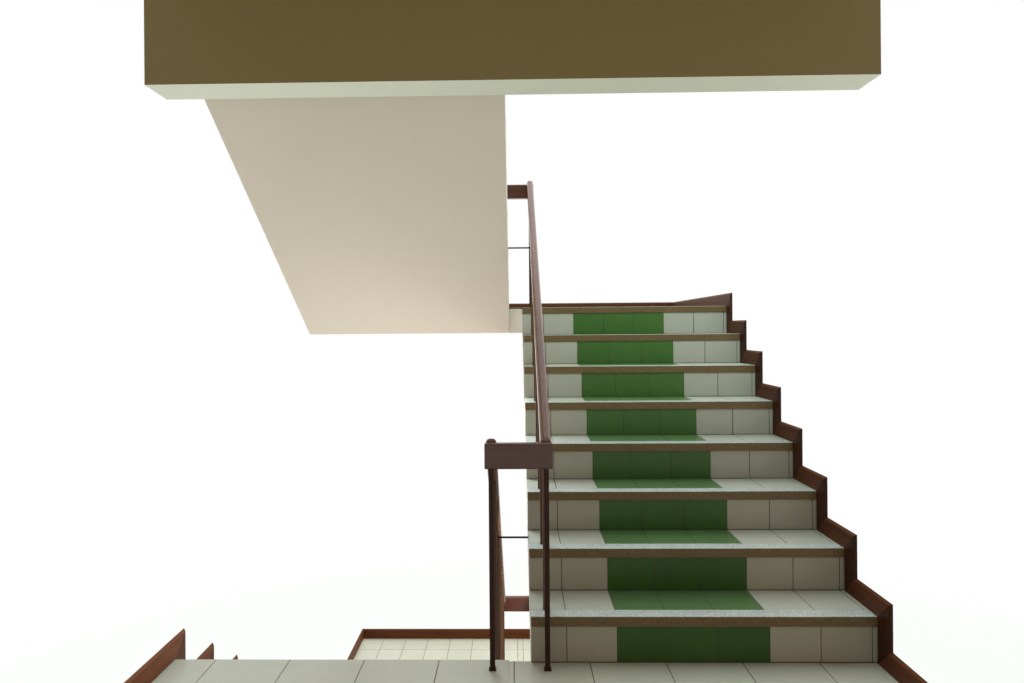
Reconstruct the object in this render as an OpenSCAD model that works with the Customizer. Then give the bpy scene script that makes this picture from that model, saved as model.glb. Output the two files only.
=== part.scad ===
// Dog-leg escape stair of two storeys, cast in concrete and finished with tiles, terrazzo nosings,
// stepped timber skirting and timber handrails on thin steel bars.
// Millimetres, +Z up. The origin is the middle of the lowest flight's foot on the ground.
// Seen from the foot, the right-hand flights climb towards +Y and the left-hand ones come back.

/* [Steps] */
// Rise of one step
riser = 183; // [165:1:195]
// Going of one step
going = 248; // [235:1:290]
// Risers in one flight
steps = 8; // [7:1:10]
// How far the nosing stands in front of the riser tiles
overhang = 5; // [2:1:9]

/* [Plan] */
// Width of the right-hand flights from the wall to the well
right_w = 1370; // [1200:5:1700]
// Width of the left-hand flights from the wall to the well
left_w = 1358; // [1200:1:1700]
// Width of the well between the flights
well_w = 90; // [70:5:200]
// Depth of a half landing
half_depth = 1450; // [1200:10:1800]
// Depth of a floor landing
floor_depth = 1450; // [1000:10:2400]

/* [Concrete] */
// Thickness of the landing slabs
slab_t = 160; // [140:5:200]
// Height from the raked soffit up to the line of the nosings
soffit_drop = 345; // [320:5:400]
// Width of the beam under a floor landing's edge
beam_w = 155; // [150:5:300]
// Height from the beam's underside to the finished floor
beam_h = 672; // [450:2:750]
// How far a beam stops short of the right-hand wall line, where the wall above is thicker
beam_stop = 62; // [0:1:120]
// Length of the lowest flight's foot on the ground
foot_d = 300; // [250:10:500]

/* [Finishes] */
// Thickness of the floor and wall tiles with their bed
tile_t = 10; // [8:1:12]
// Side of a step tile
tile_w = 200; // [150:10:250]
// Width of the cut tile next to the well
cut_tile_w = 141; // [60:1:200]
// Width of the joint between tile fields
tile_joint = 2; // [1:0.5:3]
// Depth of a terrazzo nosing
nosing_d = 60; // [50:1:80]
// Height of a terrazzo nosing's front
nosing_h = 40; // [30:1:60]
// Radius on a nosing's front edge
nosing_r = 4; // [2:0.5:6]

/* [Skirting] */
// Thickness of the skirting boards
board_t = 12; // [9:1:20]
// Width of the boards, which stand on the treads and lie against the risers
board_w = 85; // [70:1:120]
// Depth of the splay that runs along a board's outer edge
board_splay = 11; // [4:1:16]
// Open joint at the mitres
mitre_gap = 0.3; // [0.2:0.1:1]

/* [Handrail] */
// Width of the raked handrail
rail_w = 43; // [38:1:60]
// Depth of the raked handrail
rail_d = 50; // [40:1:70]
// Radius on the handrail's upper edges
rail_r = 16; // [6:1:18]
// How far the raked handrail's end stands above the cross rail of a floor landing
rail_rise = 15; // [5:1:30]
// Height of the cross rails above their landing
cross_h = 880; // [840:1:980]
// Depth of a cross rail
cross_d = 98; // [60:1:120]
// Thickness of a cross rail
cross_t = 48; // [36:1:60]
// Length of a cross rail
cross_w = 264; // [250:1:300]
// Radius on a cross rail's upper edges
cross_r = 12; // [3:1:16]

/* [Bars] */
// Distance from the well's edge to the line of the bars
bar_in = 62; // [45:1:90]
// Side of a square newel bar
newel_w = 20; // [16:1:30]
// Side of a newel's foot plate
plate_w = 28; // [24:1:50]
// Thickness of a newel's foot plate
plate_t = 4; // [3:1:8]
// Side of a square baluster
bar_w = 22; // [16:1:30]
// Distance from the riser face back to a baluster's middle
bar_back = 60; // [40:1:110]
// Diameter of the stay rods
stay_dia = 9; // [6:1:12]
// Depth of a stay rod's middle below the second tread that it meets
stay_sink = 21; // [17:1:60]
// Distance from the first riser face to the newels of a floor landing
newel_front = 53; // [45:1:90]
// Distance from the last riser face to the newels of a half landing
newel_back = 256; // [150:1:400]
// Balusters in the guard of the top landing
guard_bars = 5; // [4:1:9]

/* [Hidden] */
flight_h = steps * riser;
storey_h = 2 * flight_h;
slope = riser / going;
rake = atan(slope);
full_t = slab_t + tile_t;
rail_end_h = cross_h + rail_rise;

// plan lines
right_x = -right_w / 2;
wall_right_x = right_w / 2;
left_x = right_x - well_w;
wall_left_x = left_x - left_w;
well_x = (left_x + right_x) / 2;
first_y = -tile_t - foot_d / 2;
edge_y = first_y + tile_t;
left_top_y = edge_y + tile_t;
run = (steps - 1) * going;
last_y = first_y + run;
left_first_y = left_top_y + run;
far_y = last_y + half_depth;
back_y = edge_y - floor_depth;
near_newel_y = first_y - newel_front;
far_newel_y = last_y + newel_back;

// lines along a flight, from its first riser face
nosing_back = nosing_d - overhang;
top_seat = run + nosing_back;
low_fold = (soffit_drop - riser - full_t) / slope - overhang;
high_fold = (soffit_drop - riser + flight_h - full_t) / slope - overhang;
far_rail_y = far_newel_y - cross_t / 2;
near_rail_y = near_newel_y + cross_t / 2;

// the green strip, from the well's edge
green_from = cut_tile_w + tile_w;
green_to = green_from + 3 * tile_w;

function is_left(k) = k % 2 == 0;
function flight_z(k) = (k - 1) * flight_h;
function flight_w(k) = is_left(k) ? left_w : right_w;

// height of the raked soffit at a distance along the flight
function soffit_z(s) = riser + slope * (s + overhang) - soffit_drop;

// where a flight's handrail starts and ends along the flight
function rail_from(k) = is_left(k) ? left_first_y - far_rail_y : near_rail_y - first_y;
function rail_to(k) = is_left(k) ? left_first_y - near_rail_y : far_rail_y - first_y;

// height of the handrail's top at a distance along the flight
function rail_z(k, s) = is_left(k)
    ? flight_h + rail_end_h + slope * (s - rail_to(k))
    : rail_end_h + slope * (s - rail_from(k));
function rail_under(k, s) = rail_z(k, s) - rail_d / cos(rake);

// Moves a flight's own frame to its place: X from the well's edge to the wall, Y along the flight
module on_flight(k) {
    translate([is_left(k) ? left_x : right_x, is_left(k) ? left_first_y : first_y, flight_z(k)])
        rotate([0, 0, is_left(k) ? 180 : 0])
            children();
}

// Draws an outline of distance and height as a body from x, w wide
module across(x, w) {
    translate([x, 0, 0])
        rotate([90, 0, 90])
            linear_extrude(w)
                children();
}

/* Concrete */

// a slab's outline under one step: its seat for the nosing, then its tread
function nosing_seat(i) = [
    [i * going + tile_t, (i + 1) * riser - nosing_h],
    [i * going + nosing_back, (i + 1) * riser - nosing_h]
];
function tread_seat(i) = [
    [i * going + nosing_back, (i + 1) * riser - tile_t],
    [(i + 1) * going + tile_t, (i + 1) * riser - tile_t]
];
function stair_line(n) = [
    for (i = [0 : n - 1])
        for (p = concat(nosing_seat(i), i < steps - 1 ? tread_seat(i) : []))
            p
];

// a right-hand slab carries the last nosing too
module right_slab(foot) {
    head = [
        [top_seat, flight_h - full_t],
        [high_fold, flight_h - full_t]
    ];
    toe = foot
        ? [[tile_t + foot_d, soffit_z(tile_t + foot_d)], [tile_t + foot_d, 0], [tile_t, 0]]
        : [[tile_t, soffit_z(tile_t)]];
    across(0, right_w)
        polygon(concat(stair_line(steps), head, toe));
}

module left_slab() {
    head = [[run + tile_t, soffit_z(run + tile_t)]];
    toe = [
        [low_fold, -full_t],
        [low_fold, -tile_t],
        [tile_t, -tile_t]
    ];
    across(0, left_w)
        polygon(concat(stair_line(steps - 1), head, toe));
}

module flight_slab(k) {
    color("ivory")
        on_flight(k)
            if (is_left(k)) left_slab();
            else right_slab(k == 1);
}

module half_landing_slab(h) {
    plan = [
        [wall_left_x, left_first_y - low_fold],
        [left_x, left_first_y - low_fold],
        [left_x, last_y],
        [right_x, last_y],
        [right_x, first_y + top_seat],
        [wall_right_x, first_y + top_seat],
        [wall_right_x, far_y],
        [wall_left_x, far_y]
    ];
    color("ivory")
        translate([0, 0, (2 * h - 1) * flight_h - full_t])
            linear_extrude(slab_t)
                polygon(plan);
}

module floor_landing_slab(h) {
    color("ivory")
        translate([wall_left_x, back_y, h * storey_h - full_t])
            cube([wall_right_x - wall_left_x, floor_depth, slab_t]);
}

module floor_landing_beam(h) {
    color("tan")
        translate([wall_left_x, edge_y - beam_w, h * storey_h - beam_h])
            cube([wall_right_x - beam_stop - wall_left_x, beam_w, beam_h - full_t]);
}

/* Nosings and tiles */

module nosing_profile() {
    difference() {
        translate([-overhang, -nosing_h])
            square([nosing_d, nosing_h]);
        difference() {
            translate([-overhang - 1, -nosing_r])
                square([nosing_r + 1, nosing_r + 1]);
            translate([nosing_r - overhang, -nosing_r])
                circle(nosing_r);
        }
    }
}

// the left-hand flights end at the landing's tiles, without a nosing
module flight_nosings(k) {
    color("gray")
        on_flight(k)
            for (i = [1 : is_left(k) ? steps - 1 : steps])
                translate([0, (i - 1) * going, i * riser])
                    across(0, flight_w(k))
                        nosing_profile();
}

// tiles of one field of the flight, on every tread and riser
module tile_field(k, x, w) {
    for (i = [1 : steps - 1])
        translate([x, (i - 1) * going + nosing_back, i * riser - tile_t])
            cube([w, going - nosing_back - tile_joint / 2, tile_t]);
    for (i = [1 : steps]) {
        low = k == 1 && i == 1 ? 0 : (i - 1) * riser - tile_t;
        high = is_left(k) && i == steps ? i * riser - tile_t : i * riser - nosing_h;
        translate([x, (i - 1) * going, low])
            cube([w, tile_t, high - low]);
    }
}

module flight_white_tiles(k) {
    color("white")
        on_flight(k) {
            tile_field(k, 0, green_from - tile_joint / 2);
            tile_field(k, green_to + tile_joint / 2, flight_w(k) - green_to - tile_joint / 2);
        }
}

module flight_green_tiles(k) {
    color("green")
        on_flight(k)
            tile_field(k, green_from + tile_joint / 2, 3 * tile_w - tile_joint);
}

module half_landing_tiles() {
    plan = [
        [wall_left_x, left_first_y],
        [left_x, left_first_y],
        [left_x, last_y],
        [right_x, last_y],
        [right_x, first_y + top_seat],
        [wall_right_x, first_y + top_seat],
        [wall_right_x, far_y],
        [wall_left_x, far_y]
    ];
    color("white")
        for (h = [1, 2])
            translate([0, 0, (2 * h - 1) * flight_h - tile_t])
                linear_extrude(tile_t)
                    polygon(plan);
}

// on the top landing no flight stands on the right-hand side
module floor_landing_tiles() {
    color("lightgray")
        for (h = [1, 2]) {
            right_edge = h == 1 ? first_y : edge_y;
            plan = [
                [wall_left_x, back_y],
                [wall_right_x, back_y],
                [wall_right_x, right_edge],
                [right_x, right_edge],
                [right_x, edge_y],
                [left_x, edge_y],
                [left_x, left_top_y],
                [wall_left_x, left_top_y]
            ];
            translate([0, 0, h * storey_h - tile_t])
                linear_extrude(tile_t)
                    polygon(plan);
        }
}

/* Skirting: every board is mitred at the corners of the steps and splayed along its outer edge */

// a board's cross-section: X into the wall, Y from its inner edge to its outer edge
module board_section() {
    polygon([[0, 0], [board_t, 0], [board_t, board_w], [0, board_w - board_splay]]);
}

// a length of board with its inner edge level, from y = a to y = b
module level_length(a, b) {
    translate([0, b, 0])
        rotate([90, 0, 0])
            linear_extrude(b - a)
                board_section();
}

// an upright length of board with its inner edge at y = 0, from z = a to z = b
module upright_length(a, b) {
    translate([0, 0, a])
        linear_extrude(b - a)
            mirror([0, 1])
                board_section();
}

// a board that lies along a tread, from one inner corner to the next
module tread_board(i) {
    a = (i - 1) * going - overhang + mitre_gap / 2;
    b = i * going - overhang - mitre_gap / 2;
    translate([0, 0, i * riser])
        intersection() {
            level_length(a - board_w, b);
            across(0, board_t)
                polygon([[a, 0], [b, 0], [b - board_w, board_w], [a - board_w, board_w]]);
        }
}

// a board that stands in front of a riser
module riser_board(i, square_foot) {
    low = (i - 1) * riser + (square_foot ? 0 : mitre_gap / 2);
    high = i * riser - mitre_gap / 2;
    outer_low = low + (square_foot ? 0 : board_w);
    translate([0, (i - 1) * going - overhang, 0])
        intersection() {
            upright_length(low, high + board_w);
            across(0, board_t)
                polygon([[0, low], [0, high], [-board_w, high + board_w], [-board_w, outer_low]]);
        }
}

module flight_skirting(k) {
    color("sienna")
        on_flight(k)
            translate([flight_w(k) - board_t, 0, 0]) {
                for (i = [1 : steps - 1])
                    tread_board(i);
                for (i = [1 : steps])
                    riser_board(i, k == 1 && i == 1);
            }
}

// a board along a landing's side wall: s0 is its far end, s1 its mitred end at the flight.
// In a corner its far end is mitred too, at 45 degrees on plan
module landing_board(s0, s1, in_corner) {
    away = s0 > s1 ? 1 : -1;
    near = s1 + away * mitre_gap / 2;
    far = s0 - (in_corner ? away * mitre_gap / 2 : 0);
    face_far = far - (in_corner ? away * board_t : 0);
    intersection() {
        level_length(min(near - board_w, far), max(near, far));
        across(0, board_t)
            polygon([[far, 0], [near, 0], [near - board_w, board_w], [far, board_w]]);
        linear_extrude(board_w)
            polygon([[0, face_far], [board_t, far], [board_t, near - away * board_w],
                [0, near - away * board_w]]);
    }
}

// the board along a half landing's back wall, mitred into both corners
module back_board() {
    a = wall_left_x + mitre_gap / 2;
    b = wall_right_x - mitre_gap / 2;
    intersection() {
        translate([a, far_y - board_t, 0])
            across(0, b - a)
                board_section();
        linear_extrude(board_w)
            polygon([[a, far_y], [a + board_t, far_y - board_t], [b - board_t, far_y - board_t],
                [b, far_y]]);
    }
}

// lays a landing's side board along the wall of the flights on one side
module along_wall(left) {
    translate([left ? left_x : right_x, left ? left_first_y : first_y, 0])
        rotate([0, 0, left ? 180 : 0])
            translate([(left ? left_w : right_w) - board_t, 0, 0])
                children();
}

module half_landing_skirting() {
    color("sienna")
        for (h = [1, 2])
            translate([0, 0, (2 * h - 1) * flight_h]) {
                back_board();
                along_wall(false)
                    landing_board(far_y - first_y, run - overhang, true);
                along_wall(true)
                    landing_board(left_first_y - far_y, -overhang, true);
            }
}

// on the top landing the right-hand board runs on to the slab's edge
module floor_landing_skirting() {
    color("sienna")
        for (h = [1, 2])
            translate([0, 0, h * storey_h]) {
                along_wall(true)
                    landing_board(left_first_y - back_y, run - overhang, false);
                along_wall(false)
                    if (h == 1)
                        landing_board(back_y - first_y, -overhang, false);
                    else
                        level_length(back_y - first_y, edge_y - first_y);
            }
}

/* Handrails */

// a bar's section with its upper edges rounded, its top middle at the origin
module rail_section(w, d, r) {
    translate([-w / 2, -d])
        square([w, d - r]);
    translate([r - w / 2, -d])
        square([w - 2 * r, d]);
    for (side = [-1, 1])
        translate([side * (w / 2 - r), -r])
            circle(r);
}

// the raked rail, cut plumb against the cross rails
module flight_handrail(k) {
    from = rail_from(k);
    length = (rail_to(k) - from) / cos(rake);
    spare = 2 * rail_d;
    color("saddlebrown")
        on_flight(k)
            intersection() {
                translate([bar_in, from, rail_z(k, from)])
                    rotate([rake, 0, 0])
                        translate([0, length + spare, 0])
                            rotate([90, 0, 0])
                                linear_extrude(length + 2 * spare)
                                    rail_section(rail_w, rail_d, rail_r);
                translate([bar_in - rail_w, from, 0])
                    cube([2 * rail_w, rail_to(k) - from, 3 * flight_h]);
            }
}

// a square bar on every tread, cut to the rake under the handrail
module flight_balusters(k) {
    color("dimgray")
        on_flight(k)
            across(bar_in - bar_w / 2, bar_w)
                for (i = [1 : steps - 1]) {
                    a = (i - 1) * going + bar_back - bar_w / 2;
                    b = a + bar_w;
                    polygon([[a, i * riser], [b, i * riser], [b, rail_under(k, b)], [a, rail_under(k, a)]]);
                }
}

module cross_rail(x, w) {
    translate([x, 0, cross_h])
        rotate([90, 0, 90])
            linear_extrude(w)
                rail_section(cross_t, cross_d, cross_r);
}

// one cross rail at each landing and a short block on the first newel
module cross_rails() {
    color("saddlebrown") {
        translate([0, near_newel_y, 0])
            cross_rail(right_x + bar_in - rail_w / 2, rail_w);
        for (h = [1, 2]) {
            translate([well_x - cross_w / 2, near_newel_y, h * storey_h])
                cross_rail(0, cross_w);
            translate([well_x - cross_w / 2, far_newel_y, (2 * h - 1) * flight_h])
                cross_rail(0, cross_w);
        }
    }
}

module newel(x, y, z) {
    translate([x, y, z]) {
        translate([-plate_w / 2, -plate_w / 2, 0])
            cube([plate_w, plate_w, plate_t]);
        translate([-newel_w / 2, -newel_w / 2, 0])
            cube([newel_w, newel_w, cross_h - cross_d]);
    }
}

module newel_posts() {
    color("dimgray") {
        newel(right_x + bar_in, near_newel_y, 0);
        for (h = [1, 2])
            for (x = [left_x - bar_in, right_x + bar_in]) {
                newel(x, near_newel_y, h * storey_h);
                newel(x, far_newel_y, (2 * h - 1) * flight_h);
            }
    }
}

// a rod from the last baluster but one of a flight to the side of the next flight's slab
module stay_rods() {
    s = (steps - 3) * going + bar_back;
    color("dimgray")
        for (k = [1 : 3])
            on_flight(k)
                translate([-well_w, s, flight_h + 2 * riser - stay_sink])
                    rotate([0, 90, 0])
                        cylinder(d = stay_dia, h = well_w + bar_in - bar_w / 2);
}

/* Guard across the open side of the top landing */

guard_x = well_x + cross_w / 2;
guard_w = wall_right_x - guard_x;

module top_guard_rail() {
    color("saddlebrown")
        translate([guard_x, near_newel_y, 2 * storey_h])
            cross_rail(0, guard_w);
}

module top_guard_bars() {
    pitch = (wall_right_x - right_x - bar_in) / (guard_bars + 0.5);
    color("dimgray")
        for (i = [1 : guard_bars])
            translate([right_x + bar_in + i * pitch - bar_w / 2, near_newel_y - bar_w / 2, 2 * storey_h])
                cube([bar_w, bar_w, cross_h - cross_d]);
}

flight_slab(1);  // flight_1_slab
flight_slab(2);  // flight_2_slab
flight_slab(3);  // flight_3_slab
flight_slab(4);  // flight_4_slab
half_landing_slab(1);  // half_landing_1_slab
half_landing_slab(2);  // half_landing_2_slab
floor_landing_slab(1);  // floor_landing_1_slab
floor_landing_slab(2);  // floor_landing_2_slab
floor_landing_beam(1);  // floor_landing_1_beam
floor_landing_beam(2);  // floor_landing_2_beam
flight_nosings(1);  // flight_1_nosings
flight_nosings(2);  // flight_2_nosings
flight_nosings(3);  // flight_3_nosings
flight_nosings(4);  // flight_4_nosings
flight_white_tiles(1);  // flight_1_white_tiles
flight_white_tiles(2);  // flight_2_white_tiles
flight_white_tiles(3);  // flight_3_white_tiles
flight_white_tiles(4);  // flight_4_white_tiles
flight_green_tiles(1);  // flight_1_green_tiles
flight_green_tiles(2);  // flight_2_green_tiles
flight_green_tiles(3);  // flight_3_green_tiles
flight_green_tiles(4);  // flight_4_green_tiles
half_landing_tiles();
floor_landing_tiles();
flight_skirting(1);  // flight_1_skirting
flight_skirting(2);  // flight_2_skirting
flight_skirting(3);  // flight_3_skirting
flight_skirting(4);  // flight_4_skirting
half_landing_skirting();
floor_landing_skirting();
flight_handrail(1);  // flight_1_handrail
flight_handrail(2);  // flight_2_handrail
flight_handrail(3);  // flight_3_handrail
flight_handrail(4);  // flight_4_handrail
flight_balusters(1);  // flight_1_balusters
flight_balusters(2);  // flight_2_balusters
flight_balusters(3);  // flight_3_balusters
flight_balusters(4);  // flight_4_balusters
cross_rails();
newel_posts();
stay_rods();
top_guard_rail();
top_guard_bars();
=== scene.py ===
import math

import bpy
import numpy as np
from mathutils import Matrix, Vector


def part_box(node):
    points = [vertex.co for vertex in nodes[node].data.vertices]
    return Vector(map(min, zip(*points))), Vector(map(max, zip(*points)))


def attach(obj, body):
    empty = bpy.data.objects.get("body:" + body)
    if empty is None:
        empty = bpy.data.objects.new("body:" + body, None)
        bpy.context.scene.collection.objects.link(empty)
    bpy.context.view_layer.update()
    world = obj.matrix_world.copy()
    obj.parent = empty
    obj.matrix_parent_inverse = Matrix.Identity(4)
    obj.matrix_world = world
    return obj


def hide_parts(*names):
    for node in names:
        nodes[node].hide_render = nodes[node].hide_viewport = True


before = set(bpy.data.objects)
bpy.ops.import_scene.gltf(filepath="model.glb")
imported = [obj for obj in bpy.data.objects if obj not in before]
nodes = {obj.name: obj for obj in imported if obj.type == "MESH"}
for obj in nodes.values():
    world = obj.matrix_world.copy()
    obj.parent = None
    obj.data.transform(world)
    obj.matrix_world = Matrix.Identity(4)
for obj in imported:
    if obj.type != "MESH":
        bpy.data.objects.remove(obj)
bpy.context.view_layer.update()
chance = np.random.default_rng(418)
scene = bpy.context.scene
print("frame loaded,", len(nodes), "nodes")

# ---- places read from the frame, in metres

nosingBox = [np.array(corner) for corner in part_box("flight_1_nosings")]
tileBox = [np.array(corner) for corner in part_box("flight_1_white_tiles")]
leftTileBox = [np.array(corner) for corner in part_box("flight_2_white_tiles")]
landingBox = [np.array(corner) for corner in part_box("floor_landing_tiles")]
halfBox = [np.array(corner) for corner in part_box("half_landing_tiles")]

stair = {
    "steps": 8,
    "overhang": 0.005,       # nosing in front of the riser tiles
    "nosingDepth": 0.060,
    "nosingHeight": 0.040,
    "tileThickness": 0.010,
}
riser = (nosingBox[1][2] - nosingBox[0][2] - stair["nosingHeight"]) / (stair["steps"] - 1)
going = (nosingBox[1][1] - nosingBox[0][1] - stair["nosingDepth"]) / (stair["steps"] - 1)
flightRise = riser * stair["steps"]
run = going * (stair["steps"] - 1)
rightX, wallRightX = tileBox[0][0], tileBox[1][0]
leftX, wallLeftX = leftTileBox[1][0], leftTileBox[0][0]
widths = {1: wallRightX - rightX, 0: leftX - wallLeftX}      # right-hand and left-hand flights
firstY = tileBox[0][1]
leftFirstY = leftTileBox[1][1]
leftTopY = leftFirstY - run
farY = halfBox[1][1]
backY = landingBox[0][1]
wellX = (leftX + rightX) / 2
rake = math.atan2(riser, going)


def flightPlace(flight):
    # a flight's own frame: its first corner at the well, and +1 or -1 for a half turn about Z
    if flight % 2:
        return np.array([rightX, firstY, (flight - 1) * flightRise]), 1.0
    return np.array([leftX, leftFirstY, (flight - 1) * flightRise]), -1.0


def fromFlight(flight, points):
    # own = corner + turn * (x, y), with z simply lifted
    corner, turn = flightPlace(flight)
    return points * np.array([turn, turn, 1.0]) + corner


# ---- colour and node helpers

def srgb(code):
    # each channel c becomes c/12.92, or ((c+0.055)/1.055)^2.4 above 0.04045
    values = [int(code[i:i + 2], 16) / 255 for i in (1, 3, 5)]
    linear = [c / 12.92 if c <= 0.04045 else ((c + 0.055) / 1.055) ** 2.4 for c in values]
    return (*linear, 1.0)


def addNode(tree, kind, settings=None, links=None):
    # one node, its settings by property or socket, and its sources: sockets, or nodes for their first output
    node = tree.nodes.new("ShaderNode" + kind)
    for key, value in (settings or {}).items():
        if key == "stops":
            ramp = node.color_ramp
            while len(ramp.elements) < len(value):
                ramp.elements.new(0.5)
            for element, (place, code) in zip(ramp.elements, value):
                element.position = place
                element.color = srgb(code)
        elif key == "interpolation":
            node.color_ramp.interpolation = value
        elif isinstance(key, int) or key in node.inputs:
            node.inputs[key].default_value = value
        else:
            setattr(node, key, value)
    for key, source in (links or {}).items():
        tree.links.new(getattr(source, "outputs", [source])[0], node.inputs[key])
    return node


def newMaterial(name, coordinates=("TexCoord", "Object")):
    # an empty node tree under the given name, and the coordinates that its textures lie in
    material = bpy.data.materials.new(name)
    material.use_nodes = True
    tree = material.node_tree
    tree.nodes.clear()
    return material, tree, addNode(tree, coordinates[0]).outputs[coordinates[1]]


def finishMaterial(material, settings, colour, bump, gloss=None):
    # the shader with its constants on its own sockets, and the output
    links = {"Base Color": colour, "Normal": bump, **({"Roughness": gloss} if gloss else {})}
    tree = material.node_tree
    addNode(tree, "OutputMaterial", {}, {"Surface": addNode(tree, "BsdfPrincipled", settings, links)})
    return material


# ---- materials

def facingShare(tree, low, high, most=1.0):
    # goes from 0 to most while the Z of a face's normal goes from low to high
    normal = addNode(tree, "NewGeometry").outputs["Normal"]
    upward = addNode(tree, "SeparateXYZ", {}, {0: normal}).outputs["Z"]
    return addNode(tree, "MapRange", {1: low, 2: high, 4: most}, {0: upward})


def paintedCornerShade(tree, colour, dirtAndShade, look):
    # painted shade: the dark colour takes its share of the colour where the open sky above a point falls to
    # "shut", none at "clear"
    corner = addNode(tree, "AmbientOcclusion", {"samples": 4, "Distance": look["shadeReach"]})
    shadeAmount = addNode(tree, "MapRange", {1: look["shut"], 2: look["clear"], 3: look["shadeShare"], 4: 0.0},
                    {0: corner.outputs["AO"]})
    return addNode(tree, "Mix", {"data_type": "RGBA", 7: srgb(dirtAndShade)}, {0: shadeAmount, 6: colour}).outputs[2]


tileLook = {
    "mottleSize": 0.070,      # clouds in the glaze, metres
    "dustSize": 0.35,         # patches where dust dulls the gloss
    "waveSize": 0.140,        # slow wave of the pressed body
    "speckSize": 0.0016,      # speckle in the fired glaze, drawn coarse enough to show
    "speckShare": 0.015,      # of the tone, up or down
    "waveDepth": 0.0008,
    "scratched": "#B7BCAD",   # glaze under soles
    "shadeReach": 0.012,
    "shut": 0.35,
    "clear": 0.9,
    "shadeShare": 0.25,
    "ior": 1.37,
}


def glazedTile(name, face, shade, joint, roughness, toneShare, trodden):
    # Glazed ceramic tile, pressed and fired: a clear skin over an even colour with fine speckle,
    # a slight wave that bends reflections, a tone of its own for each tile, with painted light up a flight,
    # and painted shade in the joints and inner corners.
    # The faces that are walked on are scratched pale, by the share trodden.
    look = tileLook
    material, tree, place = newMaterial(name)
    mottle, dust, wave, speck = [
        addNode(tree, "TexNoise", {"Scale": 1 / look[size], "Detail": 1.0}, {"Vector": place})
        for size in ("mottleSize", "dustSize", "waveSize", "speckSize")]
    tone = addNode(tree, "Attribute", {"attribute_name": "tileTone"})
    body = addNode(tree, "Mix", {"data_type": "RGBA", 6: srgb(face), 7: srgb(shade)}, {0: mottle})
    share = look["speckShare"]
    specked = addNode(tree, "MapRange", {1: 0.3, 2: 0.7, 3: 1 - share, 4: 1 + share}, {0: speck})
    bright = addNode(tree, "Math", {"operation": "MULTIPLY_ADD", 1: toneShare},
                     {0: tone.outputs["Fac"], 2: specked})
    toned = addNode(tree, "HueSaturation", {}, {"Color": body.outputs[2], "Value": bright})
    worn = addNode(tree, "Mix", {"data_type": "RGBA", 7: srgb(look["scratched"])},
                   {0: facingShare(tree, 0.6, 0.9, trodden), 6: toned})
    cornerShaded = paintedCornerShade(tree, worn.outputs[2], joint, look)
    gloss = addNode(tree, "MapRange", {1: 0.3, 2: 0.75, 3: roughness - 0.02, 4: roughness + 0.05}, {0: dust})
    bump = addNode(tree, "Bump", {"Strength": 0.10, "Distance": look["waveDepth"]}, {"Height": wave})
    return finishMaterial(material, {"IOR": look["ior"]}, cornerShaded, bump, gloss)


groutLook = {
    "stainsPerMetre": 9.0,
    "grainsPerMetre": 900.0,
    "grainDepth": 0.0004,
    "roughness": 0.9,
}


def tileGrout(name, face, shade):
    # Cement grout, rubbed in and walked on: dark, matt and a little grainy.
    look = groutLook
    material, tree, place = newMaterial(name)
    stain = addNode(tree, "TexNoise", {"Scale": look["stainsPerMetre"], "Detail": 5.0}, {"Vector": place})
    grain = addNode(tree, "TexNoise", {"Scale": look["grainsPerMetre"], "Detail": 2.0}, {"Vector": place})
    colour = addNode(tree, "Mix", {"data_type": "RGBA", 6: srgb(face), 7: srgb(shade)}, {0: stain})
    bump = addNode(tree, "Bump", {"Strength": 0.4, "Distance": look["grainDepth"]}, {"Height": grain})
    return finishMaterial(material, {"Roughness": look["roughness"]}, colour.outputs[2], bump)


terrazzoLook = {
    "chip": 0.0075,           # marble chips, drawn twice as coarse as 3 to 4 mm so that they show
    "fineChip": 0.0032,
    "stainsPerMetre": 5.0,
    "topCement": "#A9ADA6",
    "frontCement": "#675231",
    "topChips": [(0.0, "#5E5C54"), (0.22, "#C9CAC0"), (0.5, "#8F8B7C"), (0.68, "#DAD9D0"), (0.86, "#7A6C58")],
    "frontChips": [(0.0, "#473A24"), (0.3, "#74623F"), (0.6, "#58482C"), (0.85, "#84734F")],
    "topRoughness": 0.34,
    "frontRoughness": 0.62,
    "relief": 0.0006,
    "ior": 1.5,
}


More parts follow.
